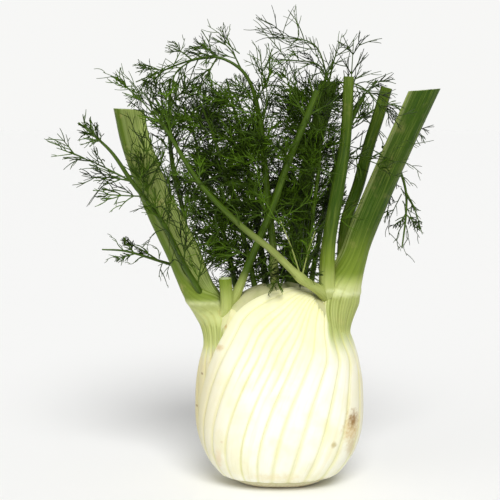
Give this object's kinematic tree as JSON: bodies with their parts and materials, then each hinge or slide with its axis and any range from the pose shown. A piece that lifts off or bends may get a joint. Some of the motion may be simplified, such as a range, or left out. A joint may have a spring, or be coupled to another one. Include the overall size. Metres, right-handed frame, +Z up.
{
  "type": "fennel bulb",
  "caption": "Fresh fennel: a swollen white bulb of overlapping ribbed leaf bases on a flat cut root, with green stalks cut short and feathery thread-leaved fronds.",
  "frame": {"origin": "middle of the flat cut root face that the bulb stands on", "axes": "+Z up along the bulb; +X from the left leaf's stalk towards the right leaf's stalk; the front, which the outer sheath's wing covers, faces -Y"},
  "size_m": [0.2124, 0.096, 0.2664],
  "materials": {
    "bulb": "smooth, waxy, creamy white flesh, slightly greener at the top",
    "leaf": "waxy ribbed skin, cream on the sheath, fading to green on the neck and stalk",
    "frond": "dark green, slightly shiny thread leaflets on paler stems"
  },
  "bodies": {
    "root": {"inner_bulb": "bulb", "leaf_left": "leaf", "leaf_right": "leaf", "frond_arch": "frond", "frond_top": "frond", "frond_straight": "frond", "frond_diagonal": "frond", "frond_centre": "frond", "frond_centre_right": "frond", "frond_back": "frond", "frond_back_right": "frond", "frond_back_left": "frond", "frond_left_back": "frond", "frond_left": "frond", "frond_left_low": "frond", "frond_right": "frond", "frond_right_top": "frond"}
  },
  "joints": []
}
